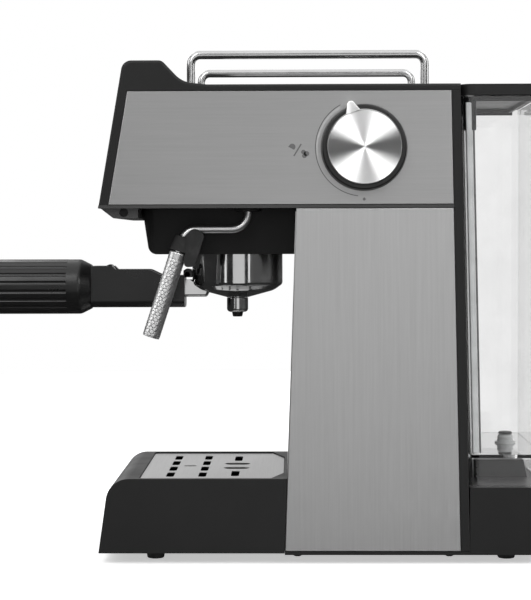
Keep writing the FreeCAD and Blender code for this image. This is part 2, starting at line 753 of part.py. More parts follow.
def valve_stem():
    y, z = KNOB
    stem = turned([(0, 51), (2, 51), (4, 54), (4, KNOB_FACE + 4), (0, KNOB_FACE + 4)],
                  at(0, y, z), X_AXIS)
    return stem


# ---- steam wand ----
def wand_point(distance):
    """Point on the lower, leaning part of the wand."""
    angle = math.radians(WAND_LEAN)
    return at(WAND_X, WAND_CORNER - distance * math.sin(angle), WAND_LEVEL - distance * math.cos(angle))


def wand_axis():
    return wand_point(1).sub(wand_point(0))


def wand_tube():
    points = [at(WAND_X, WAND_Y, 234), at(WAND_X, WAND_Y, WAND_LEVEL), wand_point(0), wand_point(WAND_END)]
    return tube(points, (11, 9), WAND_RADIUS, 1.5)


def wand_grip():
    collar = turned([(0, COLLAR_TOP), (5.2, COLLAR_TOP, 1.5), (6.3, 15, 0.8), (0, 15)],
                    wand_point(0), wand_axis())
    paddle = side_prism([(-91, 212), (-84.5, 218.6, 4), (-77, 214.5, 4), (-84, 193, 3),
                         (-90.6, 192.6, 2.5), (-91.4, 203)], WAND_X - 4.5, WAND_X + 4.5)
    paddle = paddle.cut(rod(WAND_RADIUS + 4, wand_point(14.5), wand_point(60)))
    grip = join(collar, paddle)
    points = [at(WAND_X, WAND_Y, WAND_LEVEL), wand_point(0), wand_point(WAND_END)]
    return grip.cut(bar(points, (9,), WAND_RADIUS + SLIP))


def frother_sleeve():
    sleeve = turned([(0, SLEEVE_TOP), (5.75, SLEEVE_TOP, 1), (5.75, SLEEVE_END, 0.4), (0, SLEEVE_END)],
                    wand_point(0), wand_axis())
    sleeve = sleeve.cut(rod(WAND_RADIUS + GAP, wand_point(0), wand_point(SLEEVE_END - 20)))
    return sleeve.cut(rod(4.6, wand_point(SLEEVE_TOP + 9), wand_point(SLEEVE_END + 5)))


# ---- portafilter ----
def portafilter_cup():
    axis = at(0, BREW_Y, 0)
    body = turned([(0, 168), (5, 168), (5, 171.2), (7.6, 171.2), (25, 175.9, 14), (CUP_RADIUS, 180.2, 3),
                   (CUP_RADIUS, 216.4), (27.2, 216.4), (27.2, 188, 4), (3, 182), (3, 178), (0, 178)],
                  axis, Z_AXIS)
    arm = side_prism([(-95, ARM_TOP), (-95, ARM_LOW), (-78.6, ARM_LOW, 1.6), (-76.8, 175.2, 0.8),
                      (-87.6, ARM_TOP)], -ARM_HALF, ARM_HALF)
    arm = soften(arm, 2, lambda edge: edge_runs_along(edge, Y_AXIS, 9) and edge.BoundBox.ZMax < 175)
    stud = rod(4.5, at(0, -95, HANDLE_Z), at(0, -132, HANDLE_Z))
    body = join(body, arm, stud)
    for angle in (0, 180):
        body = body.fuse(sector(30, LUG_RADIUS, angle, 12, LIP_TOP + GAP, 214.5))
    body = body.removeSplitter()
    return body.cut(rod(3, at(0, BREW_Y, 160), at(0, BREW_Y, 185)))


def filter_basket():
    return turned([(0, 190), (24.5, 190, 1.5), (26.4, 205), (26.4, 216.4), (30.2, 216.4), (30.2, 217.3),
                   (BASKET_BORE, 217.3), (BASKET_BORE, 205), (24, 190.7), (0, 190.7)],
                  at(0, BREW_Y, 0), Z_AXIS)


def spout_nut():
    nut = turned([(0, 161), (7.3, 161, 2.4), (7.3, 171, 0.6), (0, 171)], at(0, BREW_Y, 0), Z_AXIS)
    nut = nut.cut(rod(5 + SLIP, at(0, BREW_Y, 167.9), at(0, BREW_Y, 175)))
    return nut.cut(rod(3, at(0, BREW_Y, 150), at(0, BREW_Y, 170)))


def spout_nozzle():
    nozzle = turned([(0, 157.8), (3.2, 157.8, 0.6), (3.9, 161), (2.9, 161), (2.9, 166), (0, 166)],
                    at(0, BREW_Y, 0), Z_AXIS)
    return nozzle.cut(rod(1.5, at(0, BREW_Y, 150), at(0, BREW_Y, 170)))


def portafilter_handle():
    """The black neck between the cup's arm and the grip, open on top for the latch."""
    body = side_prism([(GRIP_FRONT, NECK_LOW), (NECK_END, NECK_LOW), (NECK_END, 186.4), (-109, 186.4, 4),
                       (-117.5, 190.5, 8), (-140.6, 190.5), (-143, NECK_TOP), (GRIP_FRONT, NECK_TOP)],
                      -NECK_HALF, NECK_HALF)
    body = soften(body, 5, lambda edge: edge_runs_along(edge, Y_AXIS, 30) and edge.BoundBox.ZMax < 170)
    body = body.fuse(rod(10, at(0, -175, HANDLE_Z), at(0, -157, HANDLE_Z))).removeSplitter()
    pocket = ARM_HALF + 0.2
    body = body.cut(block((-pocket, pocket), (-96, -90), (ARM_LOW - 0.3, ARM_TOP + 0.3)))
    body = body.cut(rod(4.6, at(0, -133, HANDLE_Z), at(0, -90, HANDLE_Z)))
    channel = LATCH_HALF + 0.5
    return body.cut(block((-channel, channel), (-155, -90), (LATCH_FLOOR, 200)))


def portafilter_grip():
    axis = at(0, 0, HANDLE_Z)
    grip = turned([(0, GRIP_END), (GRIP_RADIUS, GRIP_END, 9), (GRIP_RADIUS, GRIP_TAPER, 6),
                   (14.9, GRIP_FRONT, 1.2), (0, GRIP_FRONT)], axis, Y_AXIS)
    for turn in range(FLUTES):
        angle = 2 * math.pi * (turn + 0.5) / FLUTES
        x = (GRIP_RADIUS + 1.1) * math.cos(angle)
        z = HANDLE_Z + (GRIP_RADIUS + 1.1) * math.sin(angle)
        grip = grip.cut(rod(1.9, at(x, -243, z), at(x, -174, z)))
    return grip.cut(rod(10 + SLIP, at(0, -176, HANDLE_Z), at(0, -150, HANDLE_Z)))


def filter_latch():
    """Strip in the neck's channel: a thumb nub at one end, a hook over the basket's rim at the other."""
    low = LATCH_FLOOR + GAP
    high = low + 1.4
    plate = block((-LATCH_HALF, LATCH_HALF), (-144, -92.6), (low, high))
    nub = side_prism([(-147.2, low), (-147.2, 193.2), (-145.2, 194, 0.6), (-144, 193.6, 0.6),
                      (-142, 191), (-142, low)], -LATCH_HALF, LATCH_HALF)
    hook = rod(1.9, at(-LATCH_HALF, -92, LATCH_HOOK), at(LATCH_HALF, -92, LATCH_HOOK))
    return join(plate, nub, hook)


# ---- drip tray ----
def tray_rear(z):
    return lean(COLUMN_FRONT, z) - TRAY_GAP


def grate_plan(margin):
    across = GRATE_HALF + margin
    shoulder = GRATE_REAR - 8.3 + 0.7 * margin
    front = GRATE_FRONT - margin
    rear = GRATE_REAR + margin
    return [(-across, front, 3), (across, front, 3), (across, shoulder, 1), (42, rear, 1),
            (-42, rear, 1), (-across, shoulder, 1)]


def drip_tray():
    side = [(tray_rear(TRAY_LOW), TRAY_LOW), (tray_rear(TRAY_TOP), TRAY_TOP), (TRAY_NOSE, TRAY_TOP, 15),
            (BASE_FRONT, TRAY_LOW)]
    outer = side_prism(side, -HALF, HALF)
    floor_low, floor_top = TRAY_FLOOR
    inside = HALF - TRAY_SKIN
    under = block((-inside, inside), (BASE_FRONT + 4.5, 0), (0, floor_low))
    ledge = GRATE_TOP - GRATE_THICK - 0.1
    basin_top = ledge - 3
    rear = tray_rear(floor_top) - TRAY_SKIN - 0.8
    basin = side_prism([(rear, floor_top, 3), (rear, basin_top), (-126, basin_top, 6), (-137.8, 41, 10),
                        (BASE_FRONT + 5, floor_top, 4)], 2 - inside, inside - 2)
    mouth = plan_prism(grate_plan(-2.5), ledge - 4, ledge + 1)
    body = outer.cut(under).cut(basin).cut(mouth)
    return body.cut(plan_prism(grate_plan(0.4), ledge, TRAY_TOP + 5))


def drain_slots():
    """(x, y, size along x, size along y) of each hole in the grate."""
    rows = (BREW_Y - 43.5, BREW_Y - 22.2)
    under_spout = BREW_Y - 0.6
    slots = [(x, y, 23.0, 5.2) for y in rows for x in (-45, -15, 15, 45)]
    slots += [(x, under_spout, 27.0, 5.4) for x in (-40, 40)]
    slots += [(x, under_spout, 10.6, 17.5) for x in (-11.3, 11.3)]
    slots.append((0, sum(rows) / 2, 5.6, 9.0))
    return slots


def drip_grate():
    low = GRATE_TOP - GRATE_THICK
    plate = plan_prism(grate_plan(0), low, GRATE_TOP)
    for x, y, across, along in drain_slots():
        round_end = min(across, along) / 2 - 0.05
        corners = [(x - across / 2, y - along / 2, round_end), (x + across / 2, y - along / 2, round_end),
                   (x + across / 2, y + along / 2, round_end), (x - across / 2, y + along / 2, round_end)]
        plate = plate.cut(plan_prism(corners, low - 1, GRATE_TOP + 1))
    return plate


# ---- water tank ----
def tank_front(z):
    return lean(PILLAR_REAR, z) + 0.5


def tank_block(inset, low, high, corner):
    """Tank outline as a solid, drawn in by inset, with its upright edges rounded."""
    body = side_prism([(tank_front(low) + inset, low), (tank_front(high) + inset, high),
                       (TANK_REAR - inset, high), (TANK_REAR - inset, low)],
                      inset - TANK_HALF, TANK_HALF - inset)
    return soften(body, corner, lambda edge: edge_runs_along(edge, Z_AXIS, 1))


def lid_ear(side):
    y, z = LID_HINGE
    ear = rod(2.5, at(side * 50, y, z), at(side * 54, y, z))
    low_x, high_x = sorted((side * 50, side * 54))
    ear = ear.fuse(block((low_x, high_x), (y - 1.6, y + 1.6), (TANK_RIM - 4, z)))
    return ear.cut(rod(1.3, at(side * 45, y, z), at(side * 60, y, z)))


def water_tank():
    body = tank_block(0, TANK_LOW, TANK_RIM, 8)
    body = body.cut(tank_block(TANK_SKIN, TANK_FLOOR, TANK_RIM + 1, 5.8))
    body = body.cut(tank_block(TANK_SKIN, TANK_LOW - 1, TANK_FLOOR - TANK_SKIN, 5.8))
    for side in (-1, 1):
        body = body.fuse(lid_ear(side))
    return body.removeSplitter().cut(rod(6, at(0, VALVE_Y, 60), at(0, VALVE_Y, 80)))


def tank_collar():
    """Dark frame round three sides of the tank's mouth, with a bracket down each front corner."""
    high = TANK_RIM - 0.8
    outer = TANK_SKIN + SLIP
    inner = outer + COLLAR_SKIN
    frame = tank_block(outer, BRACKET_LOW, high, 5.6)
    frame = frame.cut(tank_block(inner, BRACKET_LOW - 1, high + 1, 3.4))
    frame = frame.cut(block((-TANK_HALF, TANK_HALF), (99, 150), (BRACKET_LOW - 1, COLLAR_LOW)))
    frame = frame.cut(block((-60, 60), (80, 150), (BRACKET_LOW - 1, COLLAR_LOW)))
    return frame.cut(block((-TANK_HALF, TANK_HALF), (LID_HINGE[0] - 4, 150), (BRACKET_LOW - 1, high + 1)))


def tank_lid():
    front = tank_front(LID_LOW)
    body = side_prism([(front, LID_LOW), (TANK_REAR - 2.2, LID_LOW), (TANK_REAR, LID_LOW + 1.2),
                       (TANK_REAR, DECK), (front, DECK)], -TANK_HALF, TANK_HALF)
    body = soften(body, 8, lambda edge: edge_runs_along(edge, Z_AXIS, 5))
    rib = block((-62, 62), (98.2, 137), (LID_LOW - 2.6, LID_LOW))
    rib = rib.cut(block((-60, 60), (100.2, 135), (LID_LOW - 3, LID_LOW)))
    body = join(body, rib)
    body = body.cut(soften(block((-18, 18), (front - 1, front + 9), (DECK - 1.6, DECK + 1)), 3,
                           lambda edge: edge_runs_along(edge, Z_AXIS, 1)))
    y, z = LID_HINGE
    for side in (-1, 1):
        low_x, high_x = sorted((side * 49.6, side * 54.4))
        body = body.cut(block((low_x, high_x), (y - 3.4, TANK_REAR + 1), (LID_LOW - 1, DECK + 1)))
        body = body.fuse(rod(1.25, at(side * 47, y, z), at(side * 57, y, z)))
    return body.removeSplitter()


def tank_valve():
    valve = turned([(0, 56), (5.8, 56, 0.6), (5.8, TANK_FLOOR), (7, TANK_FLOOR), (7, 71.6), (5.4, 71.6),
                    (5.4, 76.5, 1.8), (0, 76.5)], at(0, VALVE_Y, 0), Z_AXIS)
    valve = valve.cut(rod(2.8, at(0, VALVE_Y, 50), at(0, VALVE_Y, 80)))
    for level in (73.2, 75.0):
        groove = ring(6, 4.9, at(0, VALVE_Y, level), at(0, VALVE_Y, level + 0.7))
        valve = valve.cut(groove)
    return valve


def valve_plunger():
    return turned([(0, 58), (2.4, 58), (2.4, 76.9), (4.8, 76.9), (4.2, 78.4, 0.6), (0, 78.4)],
                  at(0, VALVE_Y, 0), Z_AXIS)


NODES = {
    "base_housing": base_housing,
    "rubber_feet": rubber_feet,
    "housing_screws": housing_screws,
    "column_frame": column_frame,
    "column_front_panel": column_front_panel,
    "column_side_panel_right": column_side_panel,
    "column_side_panel_left": lambda: mirror(column_side_panel()),
    "rear_cover": rear_cover,
    "head_housing": head_housing,
    "head_front_panel": head_front_panel,
    "head_side_panel_right": head_side_panel_right,
    "head_side_panel_left": lambda: mirror(head_side_panel()),
    "head_bottom_cover": head_bottom_cover,
    "cup_warmer_plate": cup_warmer_plate,
    "cup_rails": cup_rails,
    "indicator_lights": indicator_lights,
    "button_board": button_board,
    "power_button": lambda: push_button(button_places()[0]),
    "one_cup_button": lambda: push_button(button_places()[1]),
    "two_cup_button": lambda: push_button(button_places()[2]),
    "group_shroud": group_shroud,
    "brew_group": brew_group,
    "group_gasket": group_gasket,
    "shower_screen": shower_screen,
    "shower_screw": shower_screw,
    "thermoblock": thermoblock,
    "heating_element": heating_element,
    "thermostats": thermostats,
    "pump_body": pump_body,
    "pump_mounts": pump_mounts,
    "pump_bracket": pump_bracket,
    "inlet_hose": inlet_hose,
    "pressure_hose": pressure_hose,
    "steam_pipes": steam_pipes,
    "steam_valve_body": steam_valve_body,
    "wand_gland_nut": wand_gland_nut,
    "control_board": control_board,
    "tank_dock": tank_dock,
    "dock_seal": dock_seal,
    "cord_gland": cord_gland,
    "knob_skirt": knob_skirt,
    "knob_cap": knob_cap,
    "valve_stem": valve_stem,
    "wand_tube": wand_tube,
    "wand_grip": wand_grip,
    "frother_sleeve": frother_sleeve,
    "portafilter_cup": portafilter_cup,
    "portafilter_handle": portafilter_handle,
    "portafilter_grip": portafilter_grip,
    "filter_basket": filter_basket,
    "filter_latch": filter_latch,
    "spout_nut": spout_nut,
    "spout_nozzle": spout_nozzle,
    "drip_tray": drip_tray,
    "drip_grate": drip_grate,
    "water_tank": water_tank,
    "tank_lid": tank_lid,
    "tank_collar": tank_collar,
    "tank_valve": tank_valve,
    "valve_plunger": valve_plunger,
}


def main():
    os.makedirs("parts", exist_ok=True)
    for name, build in NODES.items():
        shape = build()
        if not shape.isValid():
            print("not valid:", name)
        shape.exportStep("parts/" + name + ".step")
        box = shape.BoundBox
        print("%-26s solids %d  vol %9.0f  x %.1f %.1f  y %.1f %.1f  z %.1f %.1f" % (
            name, len(shape.Solids), shape.Volume, box.XMin, box.XMax, box.YMin, box.YMax,
            box.ZMin, box.ZMax))


main()
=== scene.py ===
import json
import math
import bmesh
import bpy
from mathutils import Matrix, Vector


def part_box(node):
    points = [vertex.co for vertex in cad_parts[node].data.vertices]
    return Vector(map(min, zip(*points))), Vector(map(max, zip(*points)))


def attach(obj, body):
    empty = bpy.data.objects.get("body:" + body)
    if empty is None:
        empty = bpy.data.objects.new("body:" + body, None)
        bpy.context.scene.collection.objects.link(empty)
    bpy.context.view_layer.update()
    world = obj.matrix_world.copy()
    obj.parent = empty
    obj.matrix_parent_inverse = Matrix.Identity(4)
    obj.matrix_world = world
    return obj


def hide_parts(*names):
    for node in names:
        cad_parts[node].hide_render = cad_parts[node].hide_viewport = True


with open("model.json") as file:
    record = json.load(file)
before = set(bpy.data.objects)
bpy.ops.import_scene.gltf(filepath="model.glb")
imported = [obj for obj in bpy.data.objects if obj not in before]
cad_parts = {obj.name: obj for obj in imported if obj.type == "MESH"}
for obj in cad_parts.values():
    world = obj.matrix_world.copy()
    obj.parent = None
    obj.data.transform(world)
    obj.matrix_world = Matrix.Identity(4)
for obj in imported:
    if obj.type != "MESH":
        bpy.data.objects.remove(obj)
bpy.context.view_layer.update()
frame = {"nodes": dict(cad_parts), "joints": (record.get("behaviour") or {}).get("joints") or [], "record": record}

MM = 0.001
NODES = frame["nodes"]
BODY_OF = {node: body for body, nodes in frame["record"]["behaviour"]["bodies"].items()
           for node in nodes}
JOINTS = {joint["name"]: joint for joint in frame["joints"]}


# ---- materials ----
class Surface:
    """A material under construction: one Principled shader and the nodes that feed it."""

    def __init__(self, name):
        self.material = bpy.data.materials.new(name)
        self.material.use_nodes = True
        self.tree = self.material.node_tree
        self.tree.nodes.clear()
        output = self.tree.nodes.new("ShaderNodeOutputMaterial")
        self.shader = self.tree.nodes.new("ShaderNodeBsdfPrincipled")
        self.tree.links.new(self.shader.outputs["BSDF"], output.inputs["Surface"])
        self.place = self.tree.nodes.new("ShaderNodeTexCoord").outputs["Object"]

    def set(self, **values):
        for key, value in values.items():
            self.shader.inputs[key.replace("_", " ")].default_value = value
        return self

    def feed(self, socket, source):
        self.tree.links.new(source, self.shader.inputs[socket])

    def noise(self, scale, detail=3.0, stretch=(1, 1, 1), roughness=0.55):
        """Noise with scale features per metre, stretched along the axes with a small factor."""
        mapping = self.tree.nodes.new("ShaderNodeMapping")
        mapping.inputs["Scale"].default_value = [scale * s for s in stretch]
        self.tree.links.new(self.place, mapping.inputs["Vector"])
        node = self.tree.nodes.new("ShaderNodeTexNoise")
        node.inputs["Scale"].default_value = 1.0
        node.inputs["Detail"].default_value = detail
        node.inputs["Roughness"].default_value = roughness
        self.tree.links.new(mapping.outputs["Vector"], node.inputs["Vector"])
        return node.outputs["Fac"]

    def span(self, source, low, high, start=0.3, end=0.7):
        """source, from start to end, turned into a value from low to high."""
        node = self.tree.nodes.new("ShaderNodeMapRange")
        node.inputs["From Min"].default_value = start
        node.inputs["From Max"].default_value = end
        node.inputs["To Min"].default_value = low
        node.inputs["To Max"].default_value = high
        self.tree.links.new(source, node.inputs["Value"])
        return node.outputs["Result"]

    def blend(self, factor, first, second):
        """Colour between two, each a colour or a socket."""
        node = self.tree.nodes.new("ShaderNodeMix")
        node.data_type = "RGBA"
        self.tree.links.new(factor, node.inputs[0])
        for socket, value in ((node.inputs[6], first), (node.inputs[7], second)):
            if isinstance(value, bpy.types.NodeSocket):
                self.tree.links.new(value, socket)
            else:
                socket.default_value = value
        return node.outputs[2]

    def follow_brush(self):
        """Gloss spreads along U of the mesh's brush layer, which runs across the brush lines."""
        node = self.tree.nodes.new("ShaderNodeTangent")
        node.direction_type = "UV_MAP"
        node.uv_map = "brush"
        self.feed("Tangent", node.outputs["Tangent"])

    def edges(self, low=0.64, high=0.76):
        """High on worn outer edges, from the mesh's own curvature."""
        node = self.tree.nodes.new("ShaderNodeNewGeometry")
        return self.span(node.outputs["Pointiness"], 0, 1, low, high)

    def bump(self, height, strength, distance, under=None):
        node = self.tree.nodes.new("ShaderNodeBump")
        node.inputs["Strength"].default_value = strength
        node.inputs["Distance"].default_value = distance
        self.tree.links.new(height, node.inputs["Height"])
        if under is not None:
            self.tree.links.new(under, node.inputs["Normal"])
        return node.outputs["Normal"]


def grey(value, warm=0.0):
    return (value * (1 + warm), value, value * (1 - warm), 1.0)


def moulded_plastic(name, value, rough, gloss=0.3, grain=1500.0, relief=0.5):
    """Injection-moulded plastic with a fine spark-eroded grain and faintly polished edges."""
    s = Surface(name).set(IOR=1.49, Specular_IOR_Level=gloss)
    cloud = s.noise(14, 4)
    tone = s.blend(s.span(cloud, 0, 1), grey(value * 0.88), grey(value * 1.12))
    s.feed("Base Color", s.blend(s.edges(), tone, grey(value * 1.9 + 0.01)))
    fine = s.noise(grain, 2)
    handled = s.span(s.noise(32, 5), rough - 0.06, rough + 0.07)
    s.feed("Roughness", handled)
    scuffs = s.noise(90, 3, (1, 1, 6))
    s.feed("Normal", s.bump(scuffs, 0.05, 0.0002, s.bump(fine, relief, 0.00004)))
    return s.material


def brushed_steel(name, value, rough, along, depth=0.35):
    """Sheet steel with long brush lines along one axis and a soft cloudy sheen."""
    s = Surface(name).set(Metallic=1.0, Anisotropic=0.45)
    stretch = [0.02 if axis == along else 1.0 for axis in "XYZ"]
    coarse = s.noise(900, 4, stretch)
    fine = s.noise(3400, 3, stretch)
    cloud = s.noise(9, 3)
    light = s.blend(s.span(coarse, 0, 1, 0.2, 0.8), grey(value * 0.93), grey(value * 1.06))
    s.feed("Base Color", s.blend(s.span(cloud, 0, 0.35), light, grey(value * 1.05)))
    s.feed("Roughness", s.span(fine, rough - 0.05, rough + 0.07))
    s.feed("Normal", s.bump(coarse, depth, 0.000012, s.bump(fine, depth, 0.000006)))
    s.follow_brush()
    return s.material


def polished_metal(name, value, rough, warm=0.0, specks=0.06):
    """Plated or polished metal with faint wipe marks and specks."""
    s = Surface(name).set(Metallic=1.0)
    smear = s.noise(55, 4, (1, 1, 0.3))
    dull, bright = grey(value * 0.94, warm), grey(value * 1.03, warm)
    s.feed("Base Color", s.blend(s.span(smear, 0, 1), dull, bright))
    s.feed("Roughness", s.span(s.noise(140, 5), rough, rough + 0.07))
    s.feed("Normal", s.bump(s.noise(900, 3), specks, 0.00002))
    return s.material


def turned_metal(name, value, rough):
    """Metal faced on a lathe, whose fine rings spread a highlight into wedges."""
    s = Surface(name).set(Metallic=1.0, Anisotropic=1.0)
    s.feed("Base Color", s.blend(s.span(s.noise(70, 4), 0, 1), grey(value * 0.95), grey(value)))
    s.feed("Roughness", s.span(s.noise(12, 2), rough - 0.01, rough + 0.01))
    s.follow_brush()
    return s.material


def rubber(name, value):
    s = Surface(name).set(IOR=1.5, Specular_IOR_Level=0.25)
    dust = s.noise(160, 5)
    s.feed("Base Color", s.blend(s.span(dust, 0, 1, 0.45, 0.75), grey(value), grey(value * 1.7)))
    s.feed("Roughness", s.span(s.noise(40, 3), 0.6, 0.78))
    s.feed("Normal", s.bump(s.noise(1300, 2), 0.4, 0.00005))
    return s.material


def clear_plastic(name):
    """Clear moulded tank wall, darkened by painted shade where it is seen edge-on, with a few dull patches."""
    s = Surface(name).set(IOR=1.49, Transmission_Weight=1.0)
    facing = s.tree.nodes.new("ShaderNodeLayerWeight")
    facing.inputs["Blend"].default_value = 0.35
    middle = s.blend(s.span(s.noise(30, 3), 0, 1), grey(0.88), grey(0.93))
    # Painted shade: the colour darkens towards where the wall is seen at a glancing angle, for the dark edges that
    # thick clear plastic shows.
    rim = s.span(facing.outputs["Facing"], 0, 1, 0.25, 1.0)
    s.feed("Base Color", s.blend(rim, middle, grey(0.35)))
    s.feed("Roughness", s.span(s.noise(45, 4), 0.0, 0.02, 0.45, 0.8))
    s.feed("Normal", s.bump(s.noise(22, 2), 0.08, 0.0004))
    return s.material


def plain(name, colour, rough, metallic=0.0, grain=500.0):
    """Simple moulded or cast finish for what is inside or small."""
    s = Surface(name).set(Metallic=metallic)
    darker = [c * 0.82 for c in colour[:3]] + [1.0]
    s.feed("Base Color", s.blend(s.span(s.noise(60, 4), 0, 1), darker, colour))
    s.feed("Roughness", s.span(s.noise(200, 3), rough - 0.08, rough + 0.08))
    s.feed("Normal", s.bump(s.noise(grain, 3), 0.25, 0.0001))
    return s.material


LOOKS = {
    "body_black": moulded_plastic("body_black", 0.011, 0.42, 0.3),
    "cover_black": moulded_plastic("cover_black", 0.006, 0.38, 0.16),
    "chin_black": moulded_plastic("chin_black", 0.04, 0.5, 0.4),
    "handle_black": moulded_plastic("handle_black", 0.006, 0.3, 0.6, 900.0, 0.3),
    # One steel, brushed three ways; the three values are painted light and shade, each set to how brightly its
    # panels come out in the lighting, not to a different steel.
    "steel_y": brushed_steel("steel_y", 0.46, 0.34, "Y"),
    "steel_z": brushed_steel("steel_z", 0.56, 0.34, "Z"),
    "steel_x": brushed_steel("steel_x", 0.5, 0.34, "X"),
    "grate_steel": brushed_steel("grate_steel", 0.66, 0.36, "X", 0.25),
    "chrome": polished_metal("chrome", 0.6, 0.05),
    "rail_chrome": polished_metal("rail_chrome", 0.66, 0.2, 0.0, 0.02),
    "wand_steel": polished_metal("wand_steel", 0.85, 0.32, 0.0, 0.02),
    "sleeve_steel": polished_metal("sleeve_steel", 0.88, 0.34, 0.0, 0.02),
    "turned_face": turned_metal("turned_face", 0.8, 0.31),
    "brass": polished_metal("brass", 0.6, 0.25, 0.3),
    "rubber": rubber("rubber", 0.018),
    "tank_clear": clear_plastic("tank_clear"),
    "tank_frost": plain("tank_frost", (0.5, 0.51, 0.51, 1), 0.35),
    # Near-black painted shade for the dark line along the tank's front corners.
    "tank_painted_shade": plain("tank_painted_shade", (0.05, 0.05, 0.05, 1), 0.3),
    "lamp": plain("lamp", (0.75, 0.75, 0.7, 1), 0.25),
    "print_white": plain("print_white", (0.75, 0.75, 0.75, 1), 0.5),
    "print_dark": plain("print_dark", (0.12, 0.12, 0.12, 1), 0.5),
    # Light grey for the painted highlight beside the knob.
    "painted_light_grey": plain("painted_light_grey", (0.5, 0.5, 0.5, 1), 0.4),
    "screw_black": plain("screw_black", (0.03, 0.03, 0.03, 1), 0.4, 1.0),
    "cast": plain("cast", (0.45, 0.45, 0.46, 1), 0.45, 1.0, 900.0),
    "screw": polished_metal("screw", 0.45, 0.25),
    "pump_shell": plain("pump_shell", (0.55, 0.52, 0.45, 1), 0.45),
    "silicone": plain("silicone", (0.62, 0.62, 0.6, 1), 0.5),
    "board": plain("board", (0.03, 0.13, 0.06, 1), 0.4),
}


# ---- mesh helpers ----
WIDE_FACE = 0.0012  # square metres
INK = 0.06 * MM


def shade(mesh, angle):
    mesh.shade_smooth()
    mesh.set_sharp_from_angle(angle=math.radians(angle))


def keep_piece(name, mesh, look, body):
    """Put a finished mesh in the scene as a piece of a body."""
    mesh.materials.clear()
    mesh.materials.append(LOOKS[look])
    piece = bpy.data.objects.new(name, mesh)
    bpy.context.scene.collection.objects.link(piece)
    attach(piece, body)
    return piece


def stands_for(piece, *nodes):
    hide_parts(*nodes)
    return piece


def applied(mesh, set_up):
    """The mesh after the modifiers that set_up adds to a passing object."""
    passing = bpy.data.objects.new("passing", mesh)
    bpy.context.scene.collection.objects.link(passing)
    set_up(passing)
    bpy.context.view_layer.update()
    graph = bpy.context.evaluated_depsgraph_get()
    result = bpy.data.meshes.new_from_object(passing.evaluated_get(graph))
    bpy.data.objects.remove(passing)
    return result


def clean_copy(node):
    """The node's shape as a welded mesh with its flat faces whole."""
    mesh = NODES[node].data.copy()
    if "custom_normal" in mesh.attributes:
        mesh.attributes.remove(mesh.attributes["custom_normal"])
    work = bmesh.new()
    work.from_mesh(mesh)
    bmesh.ops.remove_doubles(work, verts=work.verts, dist=2e-6)
    bmesh.ops.dissolve_limit(work, angle_limit=math.radians(0.6), verts=work.verts,
                             edges=work.edges)
    work.to_mesh(mesh)
    work.free()
    return mesh


def rounded(mesh, width, steps, angle):
    """The mesh with its sharp edges rounded and its flat faces shaded flat."""
    def bevel(passing):
        modifier = passing.modifiers.new("bevel", "BEVEL")
        modifier.width = width
        modifier.segments = steps
        modifier.limit_method = "ANGLE"
        modifier.angle_limit = math.radians(angle)
        modifier.use_clamp_overlap = True
        modifier.miter_outer = "MITER_ARC"

    def weigh(passing):
        modifier = passing.modifiers.new("weigh", "WEIGHTED_NORMAL")
        modifier.keep_sharp = True
        modifier.weight = 100

    if width:
        mesh = applied(mesh, bevel)
    shade(mesh, 40)
    return applied(mesh, weigh)


def brush_along(mesh, axis):
    """A UV layer whose U runs across the brush lines, so that gloss spreads the right way."""
    lines = Vector([1.0 if name == axis else 0.0 for name in "XYZ"])
    layer = mesh.uv_layers.new(name="brush")
    for face in mesh.polygons:
        across = lines.cross(face.normal)
        if across.length < 0.3:
            across = face.normal.orthogonal()
        across.normalize()
        along = face.normal.cross(across)
        for loop in face.loop_indices:
            point = mesh.vertices[mesh.loops[loop].vertex_index].co
            layer.data[loop].uv = (point.dot(across) * 10, point.dot(along) * 10)


def turned_about(mesh, centre, axis):
    """A UV layer whose U runs outwards from an axis, across the rings that a lathe leaves."""
    side = Vector((0, 1, 0)) if abs(axis.x) > 0.9 else Vector((1, 0, 0))
    other = axis.cross(side)
    layer = mesh.uv_layers.new(name="brush")
    for face in mesh.polygons:
        middle = face.center - centre
        facing = math.atan2(middle.dot(other), middle.dot(side))
        for loop in face.loop_indices:
            point = mesh.vertices[mesh.loops[loop].vertex_index].co - centre
            angle = math.atan2(point.dot(other), point.dot(side))
            turn = (angle - facing + math.pi) % (2 * math.pi) - math.pi
            reach = math.hypot(point.dot(other), point.dot(side))
            layer.data[loop].uv = (reach * 10, (facing + turn) * 0.1)


def flat_where_wide(mesh):
    """Large flat faces take their own normal at every corner, so that they shade evenly."""
    normals = [Vector(corner.vector) for corner in mesh.corner_normals]
    for face in mesh.polygons:
        if face.area > WIDE_FACE:
            for loop in face.loop_indices:
                normals[loop] = face.normal.copy()
    mesh.normals_split_custom_set(normals)


def dress(node, look, rounding=0.0, steps=3, angle=32, brush=None):
    """A copy of a CAD node with its sharp edges rounded, standing for that node."""
    mesh = rounded(clean_copy(node), rounding, steps, angle)
    low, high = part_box(node)
    for vertex in mesh.vertices:
        vertex.co = [min(max(value, low[axis]), high[axis]) for axis, value in enumerate(vertex.co)]
    flat_where_wide(mesh)
    if brush:
        brush_along(mesh, brush)
    piece = keep_piece(node + "_skin", mesh, look, BODY_OF[node])
    return stands_for(piece, node)


def outward(mesh, weld=0.0):
    """Turn every face outwards, once points nearer than weld are joined."""
    work = bmesh.new()
    work.from_mesh(mesh)
    if weld:
        bmesh.ops.remove_doubles(work, verts=work.verts, dist=weld)
    bmesh.ops.recalc_face_normals(work, faces=work.faces)
    work.to_mesh(mesh)
    work.free()


def from_grid(name, rows, capped=False):
    """Mesh through rows of points, each row a ring, closed at both ends if capped."""
    mesh = bpy.data.meshes.new(name)
    count = len(rows[0])
    points = [point for row in rows for point in row]
    faces = []
    for row in range(len(rows) - 1):
        for step in range(count):
            after = (step + 1) % count
            faces.append((row * count + step, row * count + after,
                          (row + 1) * count + after, (row + 1) * count + step))
    if capped:
        faces.append(tuple(reversed(range(count))))
        faces.append(tuple((len(rows) - 1) * count + step for step in range(count)))
    mesh.from_pydata(points, [], faces)
    mesh.validate()
    outward(mesh, weld=1e-6)
    return mesh


